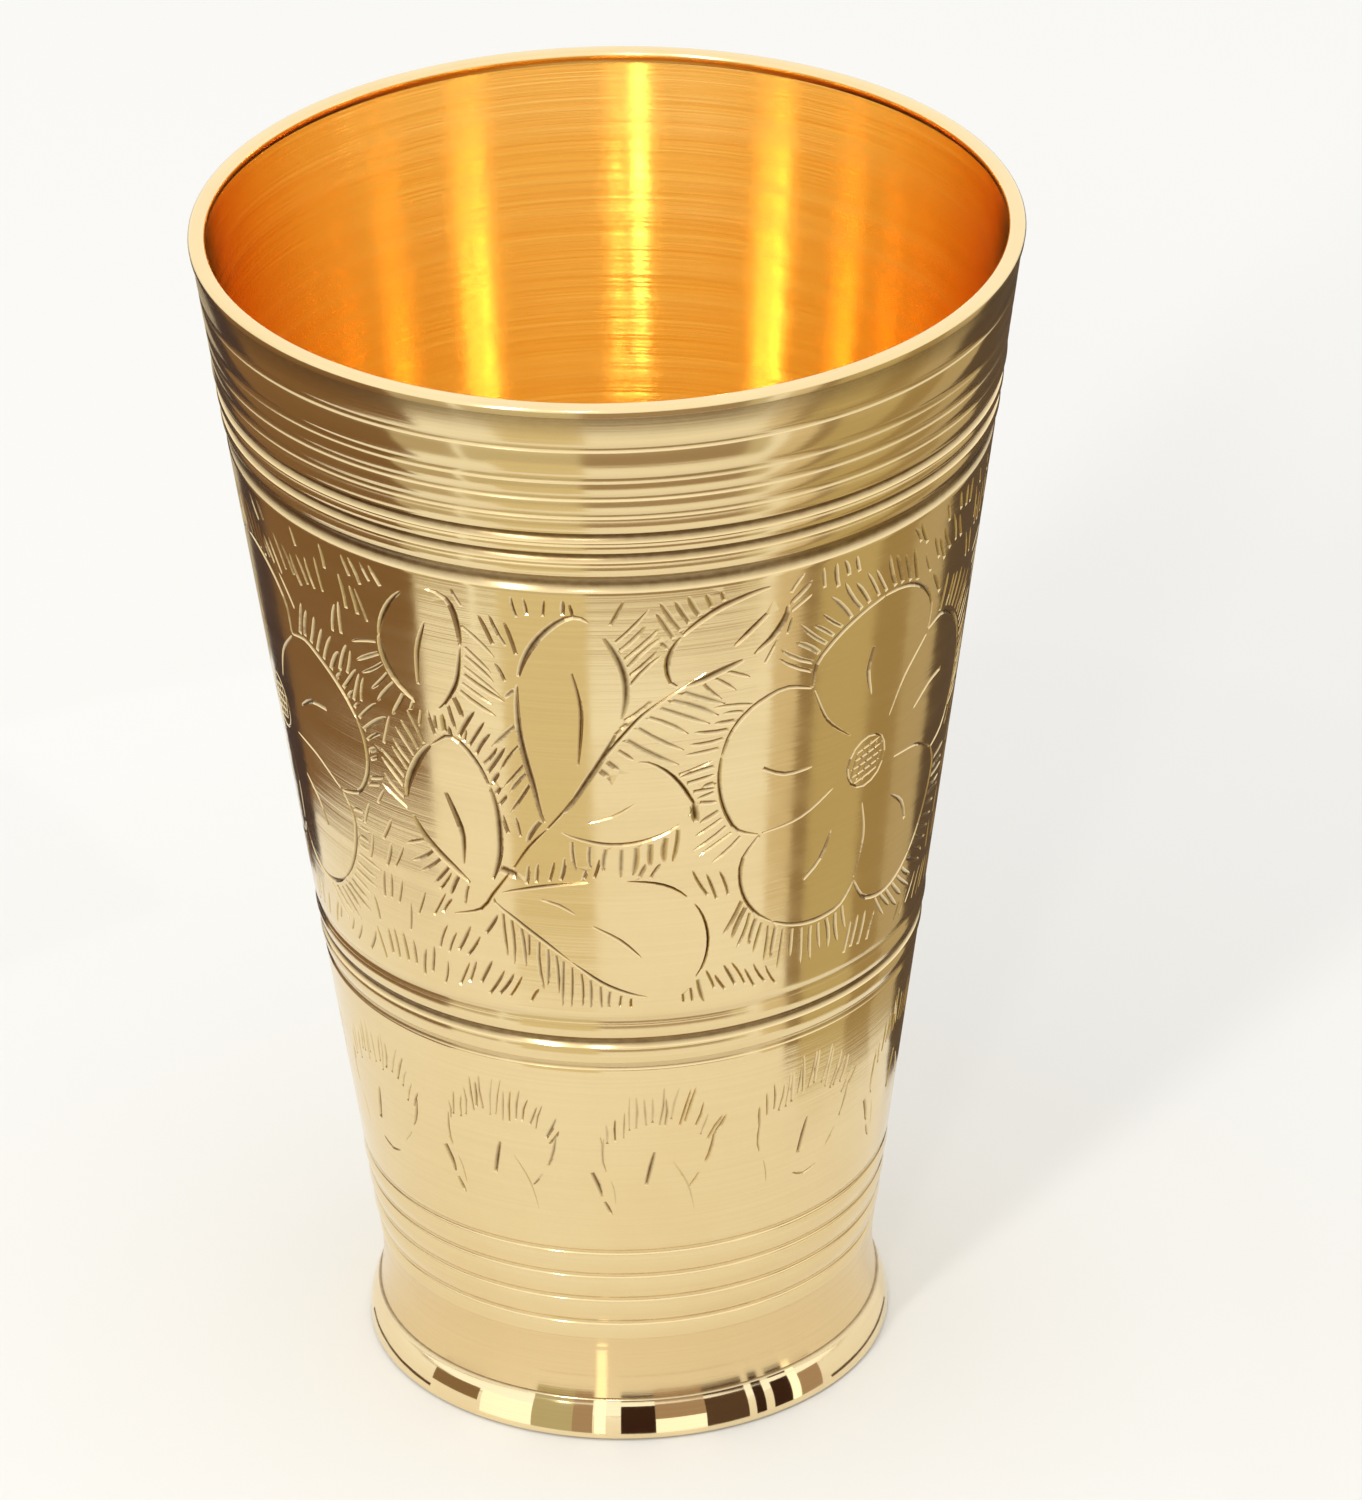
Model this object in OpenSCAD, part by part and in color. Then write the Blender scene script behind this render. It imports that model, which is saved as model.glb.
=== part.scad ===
// Engraved brass tumbler with a flared foot, in millimetres.
// The origin is the centre of the circle it stands on, and +Z is the tumbler's own axis.
// Every piece is a solid of revolution, so each profile below is a half section:
// x is the distance from the axis and y is the height above the table.

/* [Tumbler] */
// Full height, from the table to the top of the lip
height = 140; // [130:1:155]
// Outside diameter that the taper reaches at the top
mouth_d = 92.4; // [88:0.2:98]
// Outside diameter at the narrowest point of the waist
waist_d = 56.9; // [55.3:0.2:57.3]
// Thickness of the tapered wall, measured across
wall_t = 1.3; // [1.1:0.1:1.8]

/* [Lip] */
// Width of the lip across its top
lip_w = 1.9; // [1.8:0.1:2.4]
// Height of the thickened lip
lip_h = 1.3; // [1.2:0.1:2]

/* [Turned lines] */
// Height of the strong line round the middle
middle_z = 55; // [50:1:60]
// Depth of the three deep lines above the engraved belt
deep_cut = 0.5; // [0.3:0.05:0.6]
// Depth of the line round the middle
middle_cut = 0.4; // [0.2:0.05:0.5]
// Depth of the faint lines
faint_cut = 0.16; // [0.08:0.02:0.24]
// How far the round ridges and the foot beads stand proud
ridge = 0.14; // [0.06:0.02:0.2]

/* [Foot] */
// Outside diameter of the polished ring where it stands on the table
ring_d = 60.4; // [60:0.1:62.4]
// Outside diameter of the ring's top, where the flared foot meets it
ring_top_d = 58.4; // [58.2:0.1:59.6]
// Height of the polished ring
ring_h = 4.8; // [4.4:0.1:5.4]
// Width of the ring, from its bore to its outside
ring_w = 4.4; // [4.2:0.1:5]
// Height of the narrowest point of the waist
waist_z = 9.4; // [9:0.1:11]
// Thickness of the spigot inside the wall
spigot_t = 1.5; // [1.2:0.1:2]

/* [Cup floor] */
// Thickness of the disc that closes the cup
disc_t = 1.6; // [1.2:0.1:2.4]
// Leg of the brazed fillets
fillet = 0.9; // [0.6:0.1:1.1]

/* [Hidden] */

$fn = 120;

mouth_r = mouth_d / 2;
waist_r = waist_d / 2;
ring_r = ring_d / 2;
ring_top_r = ring_top_d / 2;
ring_bore_r = ring_r - ring_w;
ring_edge = 0.3;

// The foot's outside is one hollow arc. It leaves the ring's top edge, is upright at the
// waist, and goes on up until it leans as far as the wall does, where the wall begins.
flare_w = ring_top_r - ring_edge - waist_r;
flare_h = waist_z - ring_h;
flare_angle = 2 * atan(flare_w / flare_h);
flare_r = flare_h / sin(flare_angle);
wall_lean = atan((mouth_r - waist_r) / (height - waist_z));
joint_r = waist_r + flare_r * (1 - cos(wall_lean));
joint_z = waist_z + flare_r * sin(wall_lean);

// From that joint the wall is one straight taper.
taper = (mouth_r - joint_r) / (height - joint_z);
function outer_r(z) = joint_r + taper * (z - joint_z);
function inner_r(z) = outer_r(z) - wall_t;

// The spigot fills the wall's lower end, and the cup's floor rests on the spigot.
spigot_z = joint_z + 2;
floor_z = spigot_z + disc_t;
bore_r = inner_r(joint_z) - spigot_t;
skirt_bore_r = bore_r + 1.2;

// The turned lines and ridges, from the foot up. Each is [height, width, depth], with a
// negative depth for a cut line and a positive one for a round ridge.
foot_line_z = joint_z + 2.4;
bead_pitch = 3.4;
foot_turnings = [
    for (i = [0:2]) each [
        [foot_line_z + bead_pitch * i, 0.8, -faint_cut],
        [foot_line_z + bead_pitch * (i + 0.5), 2.3, ridge]
    ],
    [foot_line_z + bead_pitch * 3, 0.8, -faint_cut]
];
middle_turnings = [
    [middle_z - 3.3, 1.2, -middle_cut / 2],
    [middle_z - 1.7, 1.7, ridge],
    [middle_z, 1.5, -middle_cut],
    [middle_z + 1.65, 1.6, ridge],
    [middle_z + 3.2, 1.3, -faint_cut]
];
top_turnings = [
    [height - 22.8, 2.3, -deep_cut],
    [height - 20.9, 1.3, ridge],
    [height - 19.4, 1.3, -deep_cut],
    [height - 18.1, 1.1, ridge],
    [height - 16.8, 1.3, -deep_cut],
    [height - 15.2, 1.5, ridge],
    [height - 13.8, 1.1, -faint_cut],
    [height - 11.5, 1.1, -faint_cut],
    [height - 9.1, 1.3, -faint_cut],
    [height - 5.2, 1.1, -faint_cut]
];

// One turned line or ridge: half a sine wave, laid along the taper.
function turning_points(z, w, d) = [
    for (a = [0:30:180])
        let (zi = z + w * (a / 180 - 0.5)) [outer_r(zi) + d * sin(a), zi]
];

// Points along a circle about [x, z], from angle a0 to a1.
function arc_points(x, z, r, a0, a1, step) = [
    for (a = [a0:step:a1]) [x + r * cos(a), z + r * sin(a)]
];

// The tapered wall. Its lip is a flat-topped bead with round corners, a little proud of
// the wall outside and inside.
module tumbler_wall() {
    corner = lip_h * 0.42;
    lip_z = height - lip_h;
    lip_outer_r = outer_r(lip_z) + 0.3;
    lip_inner_r = lip_outer_r - lip_w;
    color("#dcc184")
    rotate_extrude()
    polygon(concat(
        [[joint_r, joint_z]],
        [for (t = concat(foot_turnings, middle_turnings, top_turnings))
            each turning_points(t[0], t[1], t[2])],
        [[outer_r(lip_z), lip_z], [lip_outer_r, lip_z + 0.3]],
        arc_points(lip_outer_r - corner, height - corner, corner, 0, 90, 22.5),
        arc_points(lip_inner_r + corner, height - corner, corner, 90, 180, 22.5),
        [[lip_inner_r, lip_z + 0.2], [inner_r(lip_z - 0.2), lip_z - 0.2]],
        [[inner_r(joint_z), joint_z]]
    ));
}

// The flared foot: a spigot inside the wall, a shoulder that carries the wall's end, and
// the hollow arc down to the top of the ring.
module foot_skirt() {
    flare_x = waist_r + flare_r;
    color("#e3ca92")
    rotate_extrude()
    polygon(concat(
        [for (i = [0:6])
            let (a = flare_angle - (flare_angle + wall_lean) * i / 6)
            [flare_x - flare_r * cos(a), waist_z - flare_r * sin(a)]],
        [[inner_r(joint_z), joint_z], [inner_r(spigot_z), spigot_z]],
        [[bore_r, spigot_z], [bore_r, joint_z], [skirt_bore_r, ring_h]]
    ));
}

// The polished ring: nearly square in section, with its edges broken. Its outside leans in
// a little towards the top.
module foot_ring() {
    color("#c99a4b")
    rotate_extrude()
    polygon([
        [ring_bore_r + ring_edge, 0],
        [ring_r - ring_edge, 0],
        [ring_r, ring_edge],
        [ring_top_r, ring_h - ring_edge],
        [ring_top_r - ring_edge, ring_h],
        [ring_bore_r, ring_h],
        [ring_bore_r, ring_edge]
    ]);
}

// The cup's floor: its edge follows the wall's taper, and its middle is turned down a little.
module bottom_disc() {
    dish_r = 9;
    dish = 0.3;
    color("#e0a040")
    rotate_extrude()
    polygon([
        [0, spigot_z],
        [inner_r(spigot_z), spigot_z],
        [inner_r(floor_z), floor_z],
        [dish_r + 1, floor_z],
        [dish_r, floor_z - dish],
        [0, floor_z - dish]
    ]);
}

// A ring of brazing alloy with a hollow face, in the corner at [r, z] under or over a
// level face. up is 1 over the face and -1 under it. lean is the taper of the wall.
module braze_ring(r, z, up, lean = 0) {
    color("#b98a3c")
    rotate_extrude()
    polygon(concat(
        [[r, z]],
        [for (a = [0:22.5:90])
            let (rise = fillet * (1 - cos(a)))
            [r - fillet * (1 - sin(a)) + lean * rise, z + up * rise]]
    ));
}

// Seals the floor to the wall, inside the cup.
module bottom_braze() {
    braze_ring(inner_r(floor_z), floor_z, 1, taper);
}

// Joins the spigot's bore to the underside of the floor, inside the hollow foot.
module skirt_braze() {
    braze_ring(bore_r, spigot_z, -1);
}

// Joins the ledge on top of the ring to the bore of the skirt.
module ring_braze() {
    bore_lean = (bore_r - skirt_bore_r) / (joint_z - ring_h);
    braze_ring(skirt_bore_r, ring_h, 1, bore_lean);
}

tumbler_wall();
foot_skirt();
foot_ring();
bottom_disc();
bottom_braze();
skirt_braze();
ring_braze();
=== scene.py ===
import math
import random

import bpy
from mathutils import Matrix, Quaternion, Vector
from mathutils.geometry import delaunay_2d_cdt


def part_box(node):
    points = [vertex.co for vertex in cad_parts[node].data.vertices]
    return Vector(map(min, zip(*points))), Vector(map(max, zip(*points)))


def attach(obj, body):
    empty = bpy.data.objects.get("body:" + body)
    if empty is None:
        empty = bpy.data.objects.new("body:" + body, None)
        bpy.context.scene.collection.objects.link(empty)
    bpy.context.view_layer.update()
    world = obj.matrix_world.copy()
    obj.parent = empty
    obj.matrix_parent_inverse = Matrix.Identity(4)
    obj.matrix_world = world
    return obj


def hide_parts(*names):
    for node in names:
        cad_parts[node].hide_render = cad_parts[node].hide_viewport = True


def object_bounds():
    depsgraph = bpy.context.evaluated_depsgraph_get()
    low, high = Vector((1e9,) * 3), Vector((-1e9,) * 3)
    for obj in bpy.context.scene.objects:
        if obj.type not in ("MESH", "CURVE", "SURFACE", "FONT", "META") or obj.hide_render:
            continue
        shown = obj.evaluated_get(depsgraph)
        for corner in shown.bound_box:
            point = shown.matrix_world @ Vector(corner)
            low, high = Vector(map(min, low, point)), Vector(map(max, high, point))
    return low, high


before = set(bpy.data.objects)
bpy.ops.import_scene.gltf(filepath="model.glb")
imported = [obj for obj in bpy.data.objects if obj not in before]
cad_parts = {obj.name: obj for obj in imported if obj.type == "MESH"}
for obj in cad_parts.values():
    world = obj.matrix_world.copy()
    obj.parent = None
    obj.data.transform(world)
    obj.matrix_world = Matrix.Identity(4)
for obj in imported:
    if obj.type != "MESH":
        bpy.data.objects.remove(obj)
cad_low, cad_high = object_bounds()


# ---------------------------------------------------------------------------------------
# The tapered wall: a brass tube, spun to a taper and turned in the lathe, with a thick round
# lip. It sits on the foot's shoulder and is brazed to the cup's floor. Between its turned
# lines, flowers, leaves and tulips are cut by hand with a graver.

MM = 0.001
wall_low, wall_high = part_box("tumbler_wall")
disc_low, disc_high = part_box("bottom_disc")
height = wall_high.z / MM
joint_z = wall_low.z / MM
floor_z = disc_high.z / MM
wall_t = 1.3
lip_h = 1.3
lip_w = 1.9
lip_proud = 0.3
lip_corner = 0.55
lip_z = height - lip_h
lip_r = wall_high.x / MM
wall_rise = lip_z - floor_z
taper = (lip_r - lip_proud - disc_high.x / MM - wall_t) / wall_rise
lean = math.atan(taper)


def outer_r(z):
    """The plain outside of the wall, in millimetres from the axis."""
    return disc_high.x / MM + wall_t + taper * (z - floor_z)


def inner_r(z):
    """The plain inside of the wall."""
    return outer_r(z) - wall_t


# The lathe work. Each entry is the height of a line or ridge, its width and its depth. A
# negative depth is a cut and a positive one a round ridge.
ridge = 0.14
faint_cut = -0.16
deep_cut = -0.5
bead_pitch = 3.4
foot_line_z = joint_z + 2.4
foot_lines = []
for i in range(3):
    foot_lines.append((foot_line_z + bead_pitch * i, 0.8, faint_cut))
    foot_lines.append((foot_line_z + bead_pitch * (i + 0.5), 2.3, ridge))
foot_lines.append((foot_line_z + bead_pitch * 3, 0.8, faint_cut))
middle_z = 55
middle_lines = [
    (middle_z - 3.3, 1.2, -0.2),
    (middle_z - 1.7, 1.7, ridge),
    (middle_z, 1.5, -0.4),
    (middle_z + 1.65, 1.6, ridge),
    (middle_z + 3.2, 1.3, faint_cut),
]
top_lines = [
    (height - 22.8, 2.3, deep_cut),
    (height - 20.9, 1.3, ridge),
    (height - 19.4, 1.3, deep_cut),
    (height - 18.1, 1.1, ridge),
    (height - 16.8, 1.3, deep_cut),
    (height - 15.2, 1.5, ridge),
    (height - 13.8, 1.1, faint_cut),
    (height - 11.5, 1.1, faint_cut),
    (height - 9.1, 1.3, faint_cut),
    (height - 5.2, 1.1, faint_cut),
]
clean_cut = 0.1
dark_cut = 0.35


def turned_line(z, width, depth):
    """The rows of one turned line: radius, height, and how dark the cut is painted, partly dark
    polish left in it and partly painted shade, which is none in a clean cut and the most in a dark
    one."""
    cut_darkness = 0.72 * min(1, max(0, -depth - clean_cut) / (dark_cut - clean_cut))
    rows = []
    for a in range(0, 181, 15):
        t = z + width * (a / 180 - 0.5)
        share = math.sin(math.radians(a))
        rows.append((outer_r(t) + depth * share, t, share * cut_darkness))
    return rows


def corner_rows(r, z, radius, start, turns):
    """Rows round the quarter circle of an edge, from one angle to another."""
    rows = []
    for i in range(7):
        a = math.radians(start + turns * i / 6)
        rows.append((r + radius * math.cos(a), z + radius * math.sin(a), 0))
    return rows


# The engraving is drawn on the wall laid out flat. Lengths run round the wall from the
# front, to the right, and heights run up it, both in millimetres.
random.seed(11)


def smooth(points, closed=False, step=1.1):
    """A smooth line through the given points, with a point about every step."""
    n = len(points)
    out = []
    spans = n if closed else n - 1
    for i in range(spans):
        if closed:
            p = [points[(i + k - 1) % n] for k in range(4)]
        else:
            p = [points[min(max(i + k - 1, 0), n - 1)] for k in range(4)]
        long = math.dist(p[1], p[2])
        count = max(1, round(long / step))
        for j in range(count):
            t = j / count
            spot = []
            for c in range(2):
                a, b, d, e = (q[c] for q in p)
                bend = (2 * a - 5 * b + 4 * d - e) * t + (3 * b - a - 3 * d + e) * t * t
                spot.append(b + 0.5 * t * (d - a + bend))
            out.append(tuple(spot))
    out.append(out[0] if closed else tuple(points[-1]))
    return out


class Belt:
    """One engraved belt: where it lies, its shapes, and the strokes cut into it."""

    def __init__(self, low, high, seam):
        self.low = low
        self.high = high
        self.radius = outer_r((low + high) / 2)
        self.mm_per_degree = math.radians(self.radius)
        self.seam = seam
        self.start = seam * self.mm_per_degree
        self.girth = 360 * self.mm_per_degree
        self.shapes = []
        self.strokes = []
        self.taken = {}

    def inside_shape(self, x, y):
        """Whether a spot lies inside any leaf or petal."""
        for x0, y0, x1, y1, ring in self.shapes:
            if not (x0 < x < x1 and y0 < y < y1):
                continue
            odd = False
            for a, b in zip(ring, ring[1:]):
                if (a[1] > y) != (b[1] > y):
                    if x < a[0] + (y - a[1]) * (b[0] - a[0]) / (b[1] - a[1]):
                        odd = not odd
            if odd:
                return True
        return False

    def shape(self, points):
        """Keeps a leaf or petal clear of the hatching, and returns its outline."""
        ring = smooth(points, closed=True)
        xs = [p[0] for p in ring]
        ys = [p[1] for p in ring]
        self.shapes.append((min(xs), min(ys), max(xs), max(ys), ring))
        return ring

    def near_stroke(self, x, y, gap):
        """Whether a spot lies closer than the gap to a stroke that is already cut."""
        for i in (-1, 0, 1):
            for j in (-1, 0, 1):
                for a, b in self.taken.get((int(x // 1) + i, int(y // 1) + j), ()):
                    if (a - x) ** 2 + (b - y) ** 2 < gap * gap:
                        return True
        return False

    def cut(self, path, width, depth, first=0.7, last=0.35):
        """Cuts one stroke. first and last say how wide it is at its two ends. The graver
        goes in at once and comes out more slowly."""
        edge = 0.4
        path = [
            (
                min(max(x, self.start + edge), self.start + self.girth - edge),
                min(max(y, self.low + edge), self.high - edge),
            )
            for x, y in path
        ]
        for here, there, run, place in ((0, 1, 0.3, 1), (-1, -2, 0.6, -1)):
            a = path[here]
            b = path[there]
            t = min(0.4, run / max(math.dist(a, b), 0.01))
            path.insert(place, (a[0] + (b[0] - a[0]) * t, a[1] + (b[1] - a[1]) * t))
        long = sum(math.dist(a, b) for a, b in zip(path, path[1:])) or 1
        gone = 0.0
        stroke = []
        for i, (x, y) in enumerate(path):
            if i:
                gone += math.dist(path[i - 1], path[i])
            t = min(1, gone / long)
            share = first + (last - first) * t
            share += (1 - share) * math.sin(math.pi * t) ** 0.6
            end = 0.0 if i in (0, len(path) - 1) else 1.0
            stroke.append((x, y, 0.5 * width * share, depth * share * end))
        self.strokes.append(stroke)
        for a, b in zip(path, path[1:]):
            parts = max(1, int(math.dist(a, b) / 0.4))
            for j in range(parts + 1):
                x = a[0] + (b[0] - a[0]) * j / parts
                y = a[1] + (b[1] - a[1]) * j / parts
                self.taken.setdefault((int(x // 1), int(y // 1)), []).append((x, y))

    def line(self, points, width=0.7, depth=0.28, first=0.6, last=0.3):
        """Cuts one long line through a few points."""
        self.cut(smooth(points), width, depth, first, last)

    def outline(self, ring, pieces, width=0.92, depth=0.28):
        """Cuts a closed outline as a few strokes, each given as its start and end share."""
        n = len(ring) - 1
        for a, b in pieces:
            count = max(2, round((b - a) * n))
            path = [ring[round((a + (b - a) * i / count) * n) % n] for i in range(count + 1)]
            self.cut(path, width * random.uniform(0.72, 1.22), depth, 0.4, 0.3)

    def hatch(self, path, way, reach, pitch=1.3, width=0.64, gap=0.62, clear=0.44):
        """Cuts a fringe of short strokes off a path. way is the angle they run at, in
        degrees, at the start and the end of the path."""
        long = sum(math.dist(a, b) for a, b in zip(path, path[1:]))
        goal = random.uniform(0.2, 0.8) * pitch
        gone = 0.0
        for a, b in zip(path, path[1:]):
            part = math.dist(a, b)
            while part > 0 and goal <= gone + part:
                t = (goal - gone) / part
                share = goal / long
                angle = way[0] + (way[1] - way[0]) * share + random.uniform(-5, 5)
                dx = math.cos(math.radians(angle))
                dy = math.sin(math.radians(angle))
                x = a[0] + (b[0] - a[0]) * t + dx * gap
                y = a[1] + (b[1] - a[1]) * t + dy * gap
                self.dash(x, y, dx, dy, reach * random.uniform(0.8, 1.15), width, clear)
                goal += pitch * random.uniform(0.85, 1.15)
            gone += part

    def dash(self, x, y, dx, dy, reach, width, clear, least=1.1):
        """Cuts one short stroke, which stops short of any shape or other stroke. Where there
        is no room for the least length, nothing is cut."""
        free = 0.0
        while free < reach:
            px = x + dx * free
            py = y + dy * free
            off_end = not (self.start + 0.5 < px < self.start + self.girth - 0.5)
            off_side = not (self.low + 0.5 < py < self.high - 0.5)
            if off_end or off_side or self.inside_shape(px, py):
                break
            if self.near_stroke(px, py, clear):
                break
            free += 0.25
        if free < least:
            return
        free -= 0.2
        sag = random.uniform(-0.1, 0.1) * free * 0.5
        path = []
        for i in range(4):
            t = i / 3
            side = sag * math.sin(math.pi * t)
            path.append((x + dx * free * t - dy * side, y + dy * free * t + dx * side))
        self.cut(path, width * random.uniform(0.75, 1.2), 0.2, 0.85, 0.25)


BELT_COLUMNS = 180
DEGREES = 360 / BELT_COLUMNS
leaf_belt = Belt(59.4, 115.7, -164)
tulip_belt = Belt(26.2, 50.7, -174)


def leaves_and_flower(x, y):
    """One of the three repeats of the upper belt: five leaves on their stems and one big
    flower. x and y place it on the belt."""
    b = leaf_belt

    def at(*points):
        return [(x + u, y + v) for u, v in points]

    # The upright leaf in the middle, with its vein.
    upright = b.shape(at((-7.8, 25.2), (-9.4, 31), (-10.5, 38), (-10.2, 45), (-7.9, 50.3),
                         (-4.2, 53.4), (-1.2, 50.8), (0.9, 45), (0.1, 38.8), (-3.6, 31.2)))
    b.outline(upright, [(0.02, 0.28), (0.29, 0.49), (0.53, 0.72), (0.76, 0.94)])
    b.line(at((-4.6, 46), (-3.8, 41), (-4.3, 33.6)), 0.6, 0.24)
    b.line(at((-4.2, 53.4), (-4.5, 55.2)), 0.4, 0.2)
    # The stem that runs from the node up to the right.
    stem = at((-8.1, 24.7), (-5.2, 28.6), (-2.4, 33.4), (0.8, 37.9), (3.5, 41), (9.3, 45.2))
    b.line(stem, 0.55, 0.26)
    # The small leaf under the stem.
    small = b.shape(at((-7, 25), (-4.2, 28.2), (-1.2, 31.8), (2.2, 34), (5.1, 32.6),
                       (7.4, 29.6), (8.3, 27), (5.6, 24.4), (1.4, 23), (-3, 23.2)))
    b.outline(small, [(0.34, 0.6), (0.64, 0.98)], 0.6)
    b.line(at((-3.4, 25.9), (-0.8, 26.7), (1.8, 28.4)), 0.4, 0.18)
    b.line(at((8.3, 27.6), (8.6, 25.2)), 1.1, 0.3, 0.9, 0.5)
    # The upper right leaf.
    right = b.shape(at((6.4, 43.6), (5.2, 46.6), (6.2, 49.6), (9, 52.4), (12.4, 54.2),
                       (17, 54.8), (17.9, 51), (15.4, 47.2), (11.2, 45.2)))
    b.outline(right, [(0.0, 0.2), (0.21, 0.46), (0.6, 0.75), (0.8, 0.97)])
    b.line(at((12.2, 48), (15.8, 51.6)), 0.8, 0.28, 0.3, 0.8)
    # The upper left leaf.
    left = b.shape(at((-20.6, 38.3), (-17.6, 42), (-16.6, 46), (-16.3, 50), (-17.4, 54),
                      (-20.9, 54.6), (-24.2, 51.6), (-26.2, 46.5), (-24.9, 41.5)))
    b.outline(left, [(0.03, 0.25), (0.26, 0.47), (0.55, 0.73), (0.75, 0.96)])
    b.line(at((-21.8, 41.5), (-21.4, 46.2), (-20.2, 50.2)), 0.7, 0.24)
    # The lower left leaf, with a spur on its tip.
    lower = b.shape(at((-16.3, 15.2), (-14.2, 19.4), (-13.7, 24), (-14.1, 28.6), (-15.8, 32.8),
                       (-18.4, 35.4), (-21.2, 33.6), (-23.7, 30), (-25.3, 25.4),
                       (-23.6, 21), (-19.9, 17.4)))
    b.outline(lower, [(0.04, 0.3), (0.31, 0.5), (0.52, 0.7), (0.74, 0.96)])
    b.line(at((-19.9, 27.6), (-18.8, 24.4), (-18.3, 22), (-18.6, 18.2)), 0.86, 0.28)
    b.line(at((-18.4, 35.4), (-18.7, 36.9)), 0.6, 0.26)
    # The node where the stems meet, and the stem under it.
    b.line(at((-13.9, 18.6), (-12, 17.9)), 1.3, 0.32, 0.8, 0.8)
    b.line(at((-13, 18), (-15.4, 14.6), (-17, 12.4), (-20.6, 11)), 0.5, 0.24)
    b.line(at((-12.4, 18.8), (-10.4, 22), (-8.1, 24.7)), 0.45, 0.22)
    # The big lower right leaf.
    big = b.shape(at((-15.2, 14.4), (-12.3, 11.6), (-9.5, 9.4), (-5.3, 6), (-1.6, 3.4),
                     (3, 1.8), (7, 2.2), (9.6, 5), (10.4, 9), (9.2, 13.2), (6, 16.6),
                     (1.6, 17.8), (-4.6, 17.6), (-10.6, 16.4)))
    b.outline(big, [(0.0, 0.18), (0.19, 0.34), (0.44, 0.6), (0.61, 0.74), (0.8, 0.97)], 0.56)
    b.line(at((-9.4, 15), (-7.2, 14.4), (-5.3, 13.2)), 0.5, 0.22)
    b.line(at((-3.4, 11.7), (-0.2, 9.8), (2.3, 7.3)), 0.5, 0.22)

    # The flower: five round petals about a cross-hatched eye.
    eye_x, eye_y = x + 30.7, y + 26.9
    petal_starts = [18, 90, 162, 234, 306]

    def petal_edge(share):
        lobe = abs(math.sin(math.pi * share)) ** 0.55
        return 15.2 + 5.2 * lobe + 0.5 * math.sin(2 * math.pi * share)

    flower = []
    for start in petal_starts:
        edge = []
        for i in range(13):
            a = math.radians(start + 72 * i / 12 - 36)
            r = petal_edge(i / 12)
            edge.append((eye_x + r * math.cos(a), eye_y + 1.06 * r * math.sin(a)))
        flower += edge[:-1]
        for first, last in ((0, 6), (6, 12)):
            b.cut(smooth(edge[first:last + 1]), 0.66, 0.26, 0.5, 0.35)
        a = math.radians(start - 36)
        side = math.radians(start - 31)
        b.line([(eye_x + 14.9 * math.cos(a), eye_y + 15.6 * math.sin(a)),
                (eye_x + 10 * math.cos(side), eye_y + 10.4 * math.sin(side)),
                (eye_x + 5.2 * math.cos(a), eye_y + 5.6 * math.sin(a))], 0.42, 0.2)
        a = math.radians(start + 3)
        b.line([(eye_x + 15 * math.cos(a), eye_y + 15.4 * math.sin(a)),
                (eye_x + 12 * math.cos(a + 0.06), eye_y + 12.4 * math.sin(a + 0.06)),
                (eye_x + 8.5 * math.cos(a), eye_y + 8.9 * math.sin(a))], 0.6, 0.24, 0.9, 0.2)
    b.shape(flower)
    eye = smooth([(eye_x + 3 * math.cos(a * math.pi / 4), eye_y + 3.3 * math.sin(a * math.pi / 4))
                  for a in range(8)], closed=True)
    b.cut(eye, 0.4, 0.2, 0.6, 0.5)
    for i in range(-2, 3):
        half = 2.5 - 0.35 * abs(i)
        b.line([(eye_x - half, eye_y + i - 0.4), (eye_x + half, eye_y + i + 0.4)], 0.34, 0.18)
        b.line([(eye_x + i - 0.4, eye_y - half), (eye_x + i + 0.4, eye_y + half)], 0.34, 0.18)
    return upright, stem, small, right, left, lower, big, smooth(flower, closed=True)


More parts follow.
